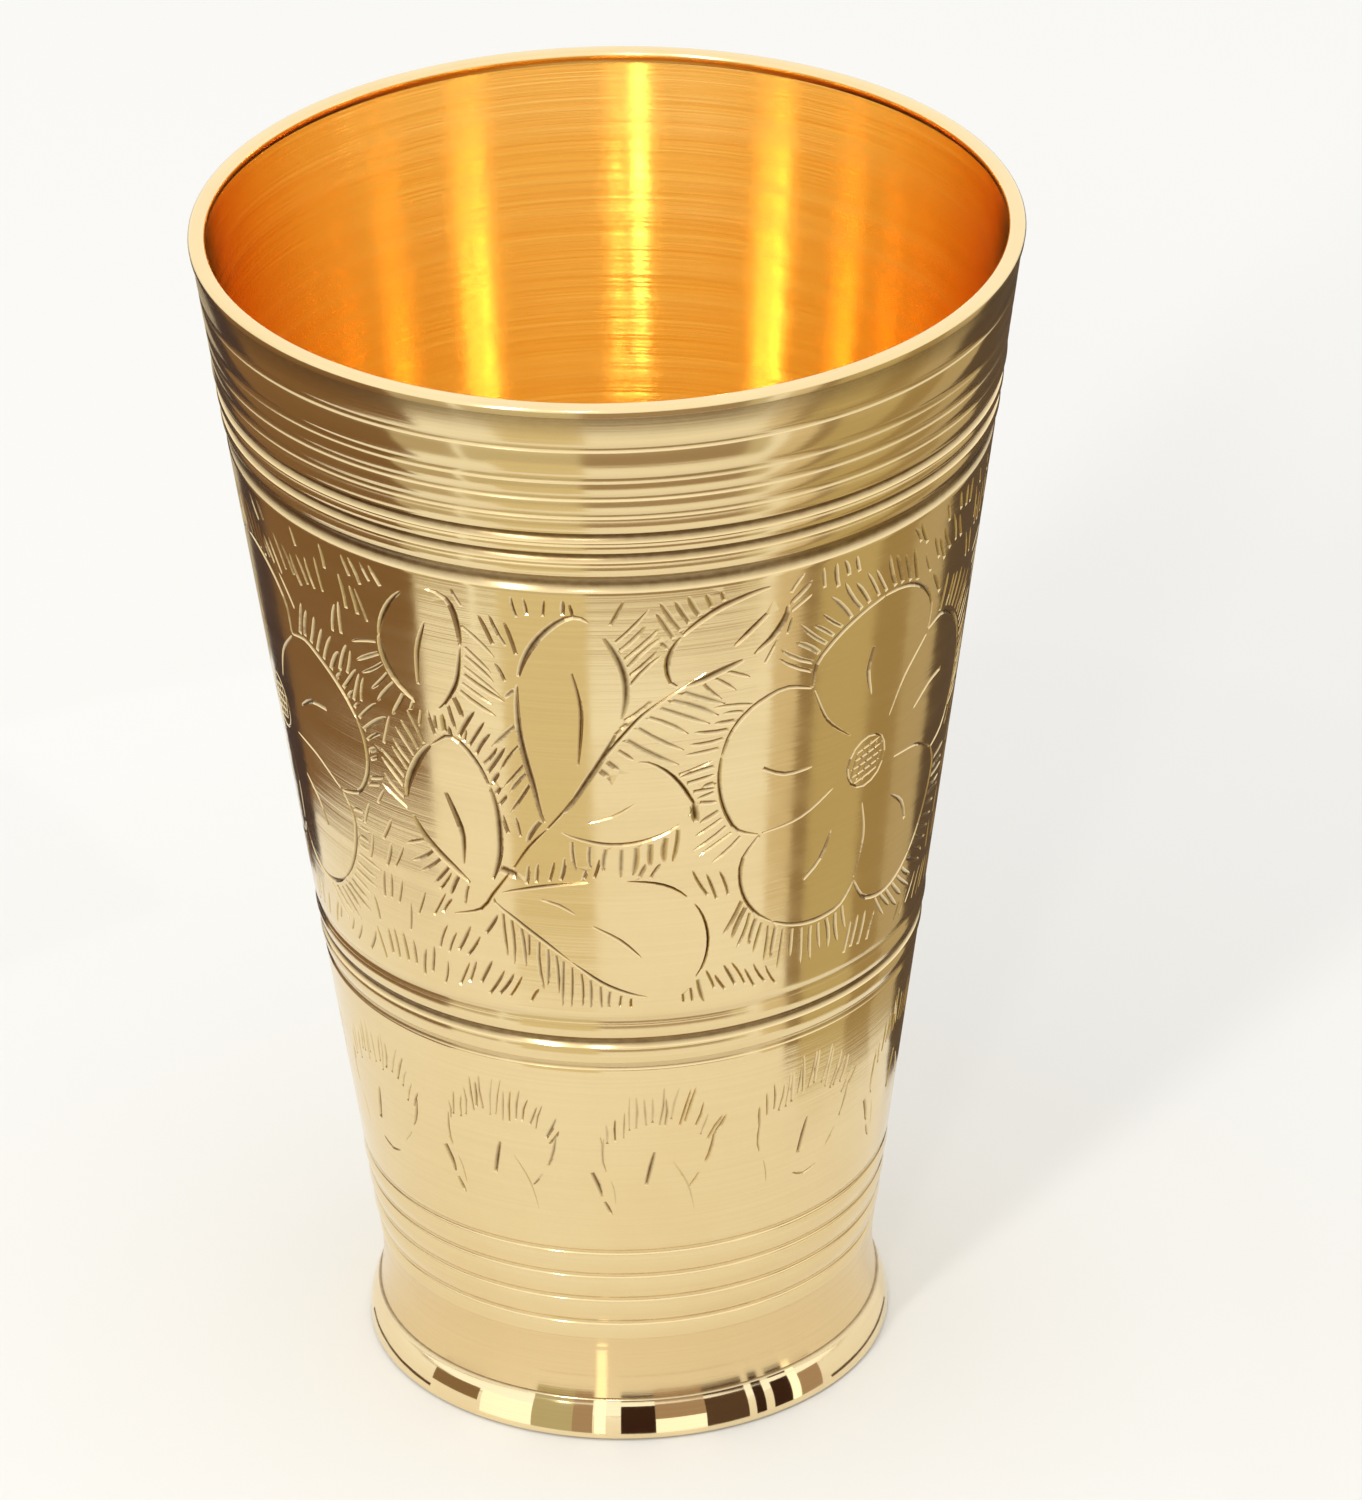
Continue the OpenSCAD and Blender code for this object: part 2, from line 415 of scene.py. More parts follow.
def hatch_ground(upright, stem, small, right, left, lower, big, flower, x, y):
    """The short strokes that fill the ground of one repeat."""
    b = leaf_belt

    def part(ring, first, last):
        n = len(ring) - 1
        return [ring[i % n] for i in range(round(first * n), round(last * n) + 1)]

    b.hatch(part(left, 0.1, 0.44), (-34, -52), 5.0)
    b.hatch(part(upright, 0.02, 0.26), (-118, -128), 4.4)
    b.hatch(part(upright, 0.26, 0.46), (-150, 116), 3.4)
    b.hatch(part(upright, 0.54, 0.86), (50, 38), 5.0, 1.2)
    b.hatch(part(right, 0.02, 0.5), (132, 92), 4.2, 1.25)
    b.hatch(smooth(stem)[8:], (-46, -22), 6.2, 1.7, 0.8)
    b.hatch(part(small, 0.3, 0.62), (60, -20), 4.2, 1.5)
    b.hatch(part(small, 0.62, 0.98), (-96, -90), 3.7, 1.9, 0.8)
    b.hatch(part(lower, 0.04, 0.44), (48, 60), 4.4)
    b.hatch(part(lower, 0.4, 0.52), (70, 104), 4.0)
    b.hatch(part(lower, 0.52, 0.8), (116, 150), 3.8)
    b.hatch(part(lower, 0.8, 0.98), (200, 262), 3.6)
    b.hatch(part(left, 0.74, 0.99), (200, 262), 4.0)
    b.hatch(part(left, 0.0, 0.12), (-84, -70), 4.6, 1.35)
    b.hatch(part(big, 0.0, 0.36), (-86, -98), 6.2, 1.3)
    b.hatch(part(big, 0.4, 0.68), (-82, -60), 3.8)
    b.hatch(part(big, 0.68, 0.98), (62, 86), 3.2)
    b.hatch(flower, (8, 368), 4.6, 1.25)
    b.hatch(part(right, 0.5, 0.98), (66, -60), 3.4)

    # What ground is left is filled with longer strokes, where there is room for them.
    for row in range(13):
        lift = 1.4 + 4.3 * row
        for column in range(62):
            over = -33 + 1.35 * column + random.uniform(-0.25, 0.25)
            rise = lift + random.uniform(-0.8, 0.8)
            start_x, start_y = x + over, y + rise
            if b.inside_shape(start_x, start_y) or b.near_stroke(start_x, start_y, 0.75):
                continue
            turn = math.radians(90 + 30 * math.sin(over / 9 + row / 3) + random.uniform(-5, 5))
            reach = random.uniform(3.4, 4.6)
            b.dash(start_x, start_y, math.cos(turn), math.sin(turn), reach, 0.56, 0.6, 2.3)


repeat = leaf_belt.girth / 3
repeats = []
for k in (0, 1, -1):
    repeats.append((leaves_and_flower(k * repeat, leaf_belt.low + 0.1), k * repeat))
for motifs, shift in repeats:
    hatch_ground(*motifs, shift, leaf_belt.low)


def tulip(x, heavy):
    """One tulip of the lower belt: a feathery arch of short strokes over two faint sides
    that do not meet, with one firm slanting stroke in its middle. A heavy one has firm
    strokes at its left and a long faint stem at its right, and a light one a short foot."""
    b = tulip_belt
    tall = b.low + 17.2
    for i in range(17):
        t = (i + random.uniform(-0.35, 0.35)) / 8 - 1
        foot_x = x + 6.3 * t
        foot_y = tall - 3 * t * t + random.uniform(-0.9, 0.7)
        long = (5.2 - 2.3 * t * t) * random.uniform(0.7, 1.1)
        slant = math.radians(2 + 24 * max(0, t + 0.1) + random.uniform(-7, 7))
        tip_x = foot_x + long * math.sin(slant)
        tip_y = foot_y + long * math.cos(slant)
        bow = random.uniform(-0.2, 0.2)
        b.cut([(foot_x, foot_y), ((foot_x + tip_x) / 2 + bow, (foot_y + tip_y) / 2),
               (tip_x, tip_y)], random.uniform(0.36, 0.6), random.uniform(0.1, 0.2), 0.7, 0.3)
    wide = random.uniform(0.94, 1.05)
    left = smooth([(x - 6.4 * wide, tall - 1.8), (x - 6.6 * wide, tall - 5.4),
                   (x - 5.4 * wide, tall - 9), (x - 5, tall - 12.4)])
    right = smooth([(x + 6.8 * wide, tall - 1.8), (x + 6.1 * wide, tall - 5.2),
                    (x + 4.4 * wide, tall - 8.4), (x + 2.8, tall - 10.4)])
    b.cut(left[:5], 0.5, 0.15, 0.4, 0.5)
    b.cut(left[5:9], 0.4, 0.1, 0.5, 0.3)
    b.cut(right[:5], 0.62, 0.18, 0.4, 0.5)
    b.cut(right[5:8], 0.4, 0.1, 0.6, 0.2)
    swing = random.uniform(-0.4, 0.4)
    b.line([(x - 0.1 + swing, tall - 4), (x - 0.6 + swing, tall - 6.2),
            (x - 1.1 + swing, tall - 8.7)], 0.8, 0.24, 0.5, 0.8)
    if heavy:
        b.line([(x - 7.6, tall - 6.8), (x - 6.9, tall - 8.6), (x - 6.5, tall - 10.2)],
               0.8, 0.24, 0.9, 0.4)
        b.line([(x - 6.3, tall - 10.9), (x - 5.4, tall - 12.8)], 0.6, 0.2, 0.7, 0.3)
        b.line([(x + 1.6, tall - 5.4), (x + 3.4, tall - 9), (x + 4.3, tall - 13)],
               0.44, 0.1, 0.3, 0.3)
    else:
        b.line([(x - 1.4, tall - 11.2), (x + 0.4, tall - 12), (x + 2.4, tall - 11.4)], 0.4, 0.1)


# Eleven tulips, the first a little right of the front. The last five are counted from the
# other side, because the belt's seam is at the back.
for k in range(11):
    centre_turn = 6.5 + k * 360 / 11 - (360 if k > 5 else 0)
    tulip(tulip_belt.mm_per_degree * centre_turn, k % 2 == 0)


def spot(angle, r, z):
    """A place on the tumbler, in metres. The angle runs from the front to the right."""
    return (r * MM * math.sin(angle), -r * MM * math.cos(angle), z * MM)


def engraved_mesh(belt, low_row, high_row, verts, polish_and_shade, faces, normals):
    """Fills the space between two rows of a lathe mesh with the belt's engraved face. The
    strokes' edges and bottoms are edges of the mesh, so every stroke is really cut in."""
    cell = 2
    cells = {}
    points = []
    edges = []
    column = belt.girth / BELT_COLUMNS
    rows = round((belt.high - belt.low) / 1.5)

    for stroke in belt.strokes:
        for a, b in zip(stroke, stroke[1:]):
            wide = max(a[2], b[2]) + 0.3
            first_i, first_j = (int((min(a[c], b[c]) - wide) // cell) for c in (0, 1))
            last_i, last_j = (int((max(a[c], b[c]) + wide) // cell) for c in (0, 1))
            for i in range(first_i, last_i + 1):
                for j in range(first_j, last_j + 1):
                    cells.setdefault((i, j), []).append((a, b))

    def cut_at(x, y):
        """How far the spot lies outside the nearest stroke, and how deep it is cut."""
        near = 9.0
        deep = 0.0
        for a, b in cells.get((int(x // cell), int(y // cell)), ()):
            dx = b[0] - a[0]
            dy = b[1] - a[1]
            long = dx * dx + dy * dy
            t = 0 if long == 0 else min(1, max(0, ((x - a[0]) * dx + (y - a[1]) * dy) / long))
            off = math.hypot(x - a[0] - dx * t, y - a[1] - dy * t)
            half = a[2] + (b[2] - a[2]) * t
            near = min(near, off - half)
            if off < half:
                deep = max(deep, (a[3] + (b[3] - a[3]) * t) * (1 - off / half))
        return near, deep

    # The belt's four sides: the two rows it joins, and its seam, which closes on itself.
    sides = []
    for k in range(BELT_COLUMNS + 1):
        turn = (k + round(belt.seam / DEGREES)) % BELT_COLUMNS
        points.append((belt.start + column * k, belt.low))
        sides.append(low_row + turn)
        points.append((belt.start + column * k, belt.high))
        sides.append(high_row + turn)
        if k:
            edges += [(2 * k - 2, 2 * k), (2 * k - 1, 2 * k + 1)]
    seam_base = len(verts)
    for end in (0, 1):
        last = 2 * BELT_COLUMNS * end
        for j in range(1, rows):
            z = belt.low + (belt.high - belt.low) * j / rows
            points.append((belt.start + belt.girth * end, z))
            sides.append(seam_base + j - 1)
            edges.append((last, len(points) - 1))
            last = len(points) - 1
        edges.append((last, 2 * BELT_COLUMNS * end + 1))
    angle = math.radians(belt.seam)
    for j in range(1, rows):
        z = belt.low + (belt.high - belt.low) * j / rows
        verts.append(spot(angle, outer_r(z), z))
        polish_and_shade.append(0)

    # Plain points between the strokes, every other row half a column along, and then each
    # stroke's two edges and its bottom.
    for j in range(1, rows):
        z = belt.low + (belt.high - belt.low) * j / rows
        for k in range(1, BELT_COLUMNS):
            x = belt.start + column * (k + (0.5 if j % 2 else 0.0) * (k < BELT_COLUMNS - 1))
            if cut_at(x, z)[0] > 0.22:
                points.append((x, z))
    for stroke in belt.strokes:
        rails = ([], [], [])
        for i, (x, y, half, deep) in enumerate(stroke):
            before = stroke[max(i - 1, 0)]
            after = stroke[min(i + 1, len(stroke) - 1)]
            dx = after[0] - before[0]
            dy = after[1] - before[1]
            long = math.hypot(dx, dy) or 1
            for rail, side in zip(rails, (-1, 0, 1)):
                rail.append(len(points))
                points.append((x - dy / long * half * side, y + dx / long * half * side))
        for rail in rails:
            edges += list(zip(rail, rail[1:]))
        for end in (0, -1):
            edges.append((rails[0][end], rails[1][end]))
            edges.append((rails[1][end], rails[2][end]))

    flat, _, tris, sources, _, _ = delaunay_2d_cdt(
        [Vector(p) for p in points], edges, [], 0, 1e-4, True)
    where = []
    deeps = []
    for p, source in zip(flat, sources):
        known = [i for i in source if i < len(sides)]
        if known:
            where.append(sides[known[0]])
            deeps.append(0)
            continue
        deep = cut_at(p.x, p.y)[1]
        where.append(len(verts))
        deeps.append(deep)
        verts.append(spot(math.radians(p.x / belt.mm_per_degree), outer_r(p.y) - deep, p.y))
        # The deeper the cut, the darker it is painted: partly dark polish, partly painted shade.
        polish_and_shade.append(min(1, deep / 0.3))
    for tri in tris:
        a, b, c = (flat[i] for i in tri)
        area = (b.x - a.x) * (c.y - a.y) - (b.y - a.y) * (c.x - a.x)
        if area < 0:
            tri = (tri[0], tri[2], tri[1])
        ids = [where[i] for i in tri]
        if len(set(ids)) < 3:
            continue
        faces.append(ids)
        if max(deeps[i] for i in tri) < 0.004:
            for i in tri:
                angle = math.radians(flat[i].x / belt.mm_per_degree)
                normals.append((math.sin(angle) * math.cos(lean),
                                -math.cos(angle) * math.cos(lean), -math.sin(lean)))
        else:
            p, q, r = (Vector(verts[i]) for i in ids)
            across = (q - p).cross(r - p).normalized()
            normals += [tuple(across)] * 3


def turned_piece(name, rows, closed=True, belts=None, uneven=None, columns=BELT_COLUMNS, soft=38):
    """A piece turned from its half section. Each row is a radius, a height and how dark it
    is. belts maps a row's place to the engraved belt that follows it. uneven moves a row
    in or out as it goes round. Edges under the soft angle are shaded smooth."""
    verts = []
    polish_and_shade = []
    faces = []
    normals = []
    starts = []
    for r, z, dark in rows:
        starts.append(len(verts))
        if r < 1e-6:
            verts.append((0, 0, z * MM))
            polish_and_shade.append(dark)
            continue
        for k in range(columns):
            angle = 2 * math.pi * k / columns
            place = (r, z) if uneven is None else uneven(angle, r, z)
            verts.append(spot(angle, *place))
            polish_and_shade.append(dark)
    spans = len(rows) if closed else len(rows) - 1
    lay = []
    for i in range(spans):
        a = rows[i]
        b = rows[(i + 1) % len(rows)]
        lay.append(math.atan2(b[0] - a[0], b[1] - a[1]))

    def shade(i, at_end):
        """The angle of the surface at one end of a span, blended over a gentle corner."""
        j = i + 1 if at_end else i - 1
        if not closed and not 0 <= j < spans:
            return lay[i]
        turn = (lay[j % spans] - lay[i] + math.pi) % (2 * math.pi) - math.pi
        return lay[i] + turn / 2 if abs(turn) < math.radians(soft) else lay[i]

    for i in range(spans):
        j = (i + 1) % len(rows)
        if belts and i in belts:
            engraved_mesh(belts[i], starts[i], starts[j], verts, polish_and_shade, faces, normals)
            continue
        below = shade(i, False)
        above = shade(i, True)
        for k in range(columns):
            n = (k + 1) % columns
            low = [(starts[i] + k, k, below), (starts[i] + n, k + 1, below)]
            high = [(starts[j] + n, k + 1, above), (starts[j] + k, k, above)]
            if rows[i][0] < 1e-6:
                low = [(starts[i], k + 0.5, below)]
            if rows[j][0] < 1e-6:
                high = [(starts[j], k + 0.5, above)]
            if len(low) + len(high) < 3:
                continue
            faces.append([v for v, _, _ in low + high])
            for _, turn, slope in low + high:
                angle = 2 * math.pi * turn / columns
                normals.append((math.sin(angle) * math.cos(slope),
                                -math.cos(angle) * math.cos(slope), -math.sin(slope)))
    mesh = bpy.data.meshes.new(name)
    mesh.from_pydata(verts, [], faces)
    mesh.polygons.foreach_set("use_smooth", [True] * len(mesh.polygons))
    mesh.attributes.new("polish_and_shade", "FLOAT", "POINT").data.foreach_set("value", polish_and_shade)
    mesh.normals_split_custom_set(normals)
    mesh.update()
    piece = bpy.data.objects.new(name, mesh)
    bpy.context.scene.collection.objects.link(piece)
    return piece


def brass(name, colour, warm, rough, brushed=0.55, lines=1.0, stain=0.5):
    """Turned brass: fine lathe lines round the axis, a little uneven colour where it has
    been handled, and cuts and corners painted dark: partly dark polish, partly painted shade."""
    material = bpy.data.materials.new(name)
    material.use_nodes = True
    tree = material.node_tree
    tree.nodes.clear()
    link = tree.links.new

    def node(kind, **values):
        new = tree.nodes.new(kind)
        for key, value in values.items():
            setattr(new, key, value)
        return new

    def noise(scale, detail, roughness=0.5):
        mapping = node("ShaderNodeMapping")
        mapping.inputs["Scale"].default_value = scale
        link(coords.outputs["Object"], mapping.inputs["Vector"])
        new = node("ShaderNodeTexNoise")
        new.inputs["Scale"].default_value = 1
        new.inputs["Detail"].default_value = detail
        new.inputs["Roughness"].default_value = roughness
        link(mapping.outputs["Vector"], new.inputs["Vector"])
        return new.outputs["Fac"]

    def spread(value, low, high, to_low, to_high):
        new = node("ShaderNodeMapRange")
        for key, number in zip(("From Min", "From Max", "To Min", "To Max"),
                               (low, high, to_low, to_high)):
            new.inputs[key].default_value = number
        link(value, new.inputs["Value"])
        return new.outputs["Result"]

    def mix(share, a, b):
        new = node("ShaderNodeMix", data_type="RGBA")
        link(share, new.inputs["Factor"])
        for socket, value in ((new.inputs[6], a), (new.inputs[7], b)):
            if isinstance(value, tuple):
                socket.default_value = (*value, 1)
            else:
                link(value, socket)
        return new.outputs[2]

    def total(a, b, how="ADD", clamp=False):
        new = node("ShaderNodeMath", operation=how, use_clamp=clamp)
        for socket, value in zip(new.inputs, (a, b)):
            if isinstance(value, (int, float)):
                socket.default_value = value
            else:
                link(value, socket)
        return new.outputs["Value"]

    coords = node("ShaderNodeTexCoord")
    shader = node("ShaderNodeBsdfPrincipled")
    output = node("ShaderNodeOutputMaterial")
    link(shader.outputs["BSDF"], output.inputs["Surface"])
    shader.inputs["Metallic"].default_value = 1
    shader.inputs["Anisotropic"].default_value = brushed
    shader.inputs["Anisotropic Rotation"].default_value = 0.25
    tangent = node("ShaderNodeTangent", direction_type="RADIAL", axis="Z")
    link(tangent.outputs["Tangent"], shader.inputs["Tangent"])

    fine = noise((35, 35, 3600), 3)
    bands = noise((12, 12, 420), 2)
    clouds = noise((34, 34, 26), 4, 0.6)
    specks = noise((900, 900, 1400), 2)
    attribute = node("ShaderNodeAttribute", attribute_name="polish_and_shade")
    polish_and_shade = attribute.outputs["Fac"]

    tone = mix(spread(clouds, 0.35, 0.68, 0, stain), colour, warm)
    tone = mix(spread(fine, 0.3, 0.7, 0.0, 0.11), tone, tuple(0.62 * c for c in warm))
    # Cuts and corners are painted towards dark brown: partly dark polish, partly painted shade.
    polish_and_shade_darkening = total(spread(polish_and_shade, 0.08, 0.8, 0, 0.94), spread(specks, 0.35, 0.65, 0.93, 1.05),
                  "MULTIPLY", True)
    tone = mix(polish_and_shade_darkening, tone, (0.13, 0.066, 0.02))
    link(tone, shader.inputs["Base Color"])
    polish = total(spread(bands, 0.3, 0.7, rough[0], rough[1]), spread(clouds, 0.3, 0.7, -0.02, 0.04))
    polish = total(polish, spread(polish_and_shade, 0.1, 1, 0, 0.25), "ADD", True)
    link(polish, shader.inputs["Roughness"])

    bump = node("ShaderNodeBump")
    bump.inputs["Strength"].default_value = 1
    bump.inputs["Distance"].default_value = 0.000012 * lines
    height_map = total(fine, spread(bands, 0, 1, 0, 3.5))
    link(height_map, bump.inputs["Height"])
    link(bump.outputs["Normal"], shader.inputs["Normal"])
    return material


wall_rows = [(outer_r(joint_z), joint_z, 0.06)]
for line in foot_lines:
    wall_rows += turned_line(*line)
wall_rows.append((outer_r(tulip_belt.low), tulip_belt.low, 0))
tulip_row = len(wall_rows) - 1
wall_rows.append((outer_r(tulip_belt.high), tulip_belt.high, 0))
for line in middle_lines:
    wall_rows += turned_line(*line)
wall_rows.append((outer_r(leaf_belt.low), leaf_belt.low, 0))
leaf_row = len(wall_rows) - 1
wall_rows.append((outer_r(leaf_belt.high), leaf_belt.high, 0))
for line in top_lines:
    wall_rows += turned_line(*line)
# The lip's undersides, outside and in, are painted darker: painted shade.
wall_rows.append((outer_r(lip_z), lip_z, 0.5))
wall_rows.append((lip_r - 0.1, lip_z + 0.15, 0.2))
wall_rows += corner_rows(lip_r - lip_corner, height - lip_corner, lip_corner, 0, 90)
inside_lip = lip_r - lip_w
wall_rows += corner_rows(inside_lip + lip_corner, height - lip_corner, lip_corner, 90, 90)
wall_rows.append((inside_lip, lip_z + 0.2, 0.3))
wall_rows.append((inner_r(lip_z - 0.2), lip_z - 0.2, 0.2))
inside_steps = 20
for i in range(inside_steps + 1):
    z = lip_z - 0.8 - (lip_z - 0.8 - joint_z) * i / inside_steps
    wall_rows.append((inner_r(z), z, 0.0))

wall = turned_piece("engraved_tumbler_wall", wall_rows,
                    belts={tulip_row: tulip_belt, leaf_row: leaf_belt})
wall.data.materials.append(brass("engraved_brass", (0.86, 0.69, 0.39), (0.8, 0.6, 0.3),
                                 (0.1, 0.17)))
# The inside has its own copy of the wall's brass: smoother and more brushed, and painted a brighter
# colour than the outside, which is painted light.
wall.data.materials.append(brass("inside_brass_painted_brighter", (0.95, 0.745, 0.4), (0.92, 0.68, 0.33),
                                 (0.07, 0.13), 0.7, 1.4))
for face in wall.data.polygons:
    facing = face.normal.x * face.center.x + face.normal.y * face.center.y
    if facing < 0 and face.center.z < lip_z * MM:
        face.material_index = 1
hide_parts("tumbler_wall")
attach(wall, "root")


# ---------------------------------------------------------------------------------------
# The flared foot. It is a turned brass skirt. Its spigot is pressed into the wall's lower
# end and its shoulder carries the wall. Faint turned rings run round the hollow flare.

skirt_low, skirt_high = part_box("foot_skirt")
skirt_braze_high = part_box("skirt_braze")[1]
ring_braze_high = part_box("ring_braze")[1]
waist_r = 28.45
waist_z = 9.4
ring_h = skirt_low.z / MM
spigot_z = skirt_high.z / MM
bore_r = skirt_braze_high.x / MM
skirt_bore_r = ring_braze_high.x / MM
flare_w = skirt_high.x / MM - waist_r
flare_h = waist_z - ring_h
flare_angle = 2 * math.atan(flare_w / flare_h)
flare_r = flare_h / math.sin(flare_angle)
flare_lines = (7.2, 11.4)
flare_line_depth = 0.03

# The faint rings on the flare are painted a little darker: partly dark polish, partly painted shade.
skirt_rows = []
flare_steps = 40
for i in range(flare_steps + 1):
    a = flare_angle - (flare_angle + lean) * i / flare_steps
    z = waist_z - flare_r * math.sin(a)
    ring_cut = max(math.exp(-((z - line) / 0.22) ** 2) for line in flare_lines)
    r = waist_r + flare_r * (1 - math.cos(a)) - flare_line_depth * ring_cut
    skirt_rows.append((r, z, 0.08 * ring_cut))
# The inside of the foot, under the wall and round its bore, is painted darker: painted shade.
skirt_rows.append((inner_r(joint_z), joint_z, 0.1))
skirt_rows.append((inner_r(spigot_z), spigot_z, 0))
skirt_rows.append((bore_r, spigot_z, 0.2))
skirt_rows.append((bore_r, joint_z, 0.1))
skirt_rows.append((skirt_bore_r, ring_h, 0.3))

skirt = turned_piece("flared_foot", skirt_rows)
skirt.data.materials.append(brass("satin_foot_brass", (0.82, 0.63, 0.34), (0.78, 0.58, 0.3),
                                  (0.15, 0.21), 0.15))
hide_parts("foot_skirt")
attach(skirt, "root")


# ---------------------------------------------------------------------------------------
# The foot ring. It is a solid brass ring, nearly square in section, that the tumbler
# stands on, brazed under the skirt. Its outside is polished like a mirror and its edges are
# broken by a file.

ring_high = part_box("foot_ring")[1]
ring_w = 4.4
ring_edge = 0.3
ring_r = ring_high.x / MM
ring_top_r = skirt_high.x / MM + ring_edge
ring_bore_r = ring_r - ring_w

# Its underside has one scribed line, painted dark: partly dark polish, partly painted shade.
# Its outside bows a little between its two edges.
ring_rows = [(ring_bore_r + ring_edge, 0, 0)]
ring_rows.append((ring_bore_r + 1.9, 0, 0))
ring_rows.append((ring_bore_r + 2.05, 0.06, 0.5))
ring_rows.append((ring_bore_r + 2.2, 0, 0))
ring_rows.append((ring_r - ring_edge, 0, 0))
ring_rows += corner_rows(ring_r - ring_edge, ring_edge, ring_edge, -90, 90)[1:]
ring_face = ring_h - 2 * ring_edge
ring_crown = 2 * math.atan((ring_r - ring_top_r) / ring_face)
ring_bow = ring_face / math.sin(ring_crown)
for i in range(1, 12):
    a = ring_crown * i / 12
    ring_rows.append((ring_r - ring_bow * (1 - math.cos(a)), ring_edge + ring_bow * math.sin(a), 0))
# The top edge, tucked under the skirt, is painted darker towards the top: painted shade.
for r, z, _ in corner_rows(ring_top_r - ring_edge, ring_h - ring_edge, ring_edge, 0, 90):
    ring_rows.append((r, z, 0.7 * (z - ring_h + ring_edge) / ring_edge))
# The bore is painted darker, most at its top: painted shade.
ring_rows.append((ring_bore_r, ring_h, 0.3))
ring_rows.append((ring_bore_r, ring_edge, 0.1))

ring = turned_piece("polished_foot_ring", ring_rows)
ring.data.materials.append(brass("mirror_brass", (0.94, 0.79, 0.5), (0.88, 0.68, 0.38),
                                 (0.07, 0.13), 0.2, 0.5))
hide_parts("foot_ring")
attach(ring, "root")


# ---------------------------------------------------------------------------------------
# The cup's floor. It is a disc of brass sheet that rests on the spigot inside the wall.
# Its middle is turned down a little, and the tool has left rings round a small centre pip.

dish_r = 9
dish = 0.3
under_z = disc_low.z / MM
edge_top = disc_high.x / MM
edge_under = inner_r(under_z)

# The scribed line under the floor, its corners at the wall, the tool rings and the dip round the pip
# are painted darker: painted shade in the corners, and partly dark polish, partly painted shade in
# the cuts.
disc_rows = [(0, under_z, 0), (3, under_z, 0), (3.2, under_z + 0.05, 0.5), (3.4, under_z, 0)]
disc_rows.append((edge_under, under_z, 0.3))
disc_rows.append((edge_top, floor_z, 0.2))
for i in range(44):
    t = i / 43
    r = edge_top - 0.6 - (edge_top - 0.6 - dish_r - 1) * t
    groove = 0.03 * (i % 4 == 2)
    disc_rows.append((r, floor_z - groove, 6 * groove))
for i in range(1, 7):
    t = i / 6
    drop = dish * (0.5 - 0.5 * math.cos(math.pi * t))
    disc_rows.append((dish_r + 1 - t, floor_z - drop, 0.2 * math.sin(math.pi * t)))
for i in range(1, 24):
    r = dish_r - (dish_r - 0.8) * i / 24
    groove = 0.025 * (i % 3 == 1)
    disc_rows.append((r, floor_z - dish - groove, 6 * groove))
disc_rows.append((0.5, floor_z - dish - 0.08, 0.5))
disc_rows.append((0.3, floor_z - dish - 0.02, 0.2))
disc_rows.append((0, floor_z - dish, 0))

disc = turned_piece("cup_floor_disc", disc_rows, closed=False)
disc.data.materials.append(brass("deep_gold_floor_brass", (0.93, 0.7, 0.35), (0.85, 0.57, 0.24),
                                 (0.18, 0.3), 0.5))
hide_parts("bottom_disc")
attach(disc, "root")


# ---------------------------------------------------------------------------------------
# The three brazed joints. Each is a bead of brazing brass that ran into a corner under the
# torch: round the cup's floor, under the floor, and inside the foot on the ring. A bead is
# hollow-faced and a little uneven, with ripples where it cooled.

fillet = 0.9
brazing = brass("brazing_brass", (0.8, 0.58, 0.29), (0.6, 0.38, 0.18), (0.3, 0.45), 0.0, 0.3, 0.8)
bore_lean = (bore_r - skirt_bore_r) / (joint_z - ring_h)
seams = (
    ("floor_braze", "bottom_braze", edge_top, floor_z, 1, taper),
    ("under_floor_braze", "skirt_braze", bore_r, spigot_z, -1, 0),
    ("foot_braze", "ring_braze", skirt_bore_r, ring_h, 1, bore_lean),
)


def braze(name, node, corner_r, corner_z, up, side_lean):
    """One brazed bead in a corner. up is 1 over the face it lies on and -1 under it."""
    rows = [(corner_r, corner_z, 0.2)]
    for i in range(9):
        a = math.radians(90 * i / 8)
        rise = fillet * (1 - math.cos(a))
        rows.append((corner_r - fillet * (1 - math.sin(a)) + side_lean * rise,
                     corner_z + up * rise, 0.1))
    if up > 0:
        rows.reverse()

    def uneven(angle, r, z):
        """Draws the bead in towards its corner by an amount that changes as it goes round."""
        ripple = 0.5 * math.sin(41 * angle) + 0.3 * math.sin(17 * angle + corner_r)
        ripple += 0.35 * math.sin(5 * angle + 1)
        draw = 0.93 + 0.06 * ripple
        return corner_r + (r - corner_r) * draw, corner_z + (z - corner_z) * draw

    bead = turned_piece(name, rows, uneven=uneven, columns=240)
    bead.data.materials.append(brazing)
    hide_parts(node)
    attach(bead, "root")


for seam in seams:
    braze(*seam)


# ---------------------------------------------------------------------------------------
# The table, the light and the camera. The tumbler stands on a plain pale table in a bright
# room.

centre = (cad_low + cad_high) / 2
tall = cad_high.z - cad_low.z


def stage_material(name, colour, glow=0.0):
    """A plain matt finish for the table, or black and glowing for the cards, whose glow
    paints reflections on the brass.
    """
    material = bpy.data.materials.new(name)
    material.use_nodes = True
    shader = material.node_tree.nodes["Principled BSDF"]
    shader.inputs["Base Color"].default_value = (0, 0, 0, 1) if glow else (*colour, 1)
    shader.inputs["Roughness"].default_value = 0.9
    shader.inputs["Emission Color"].default_value = (*colour, 1)
    shader.inputs["Emission Strength"].default_value = glow
    return material


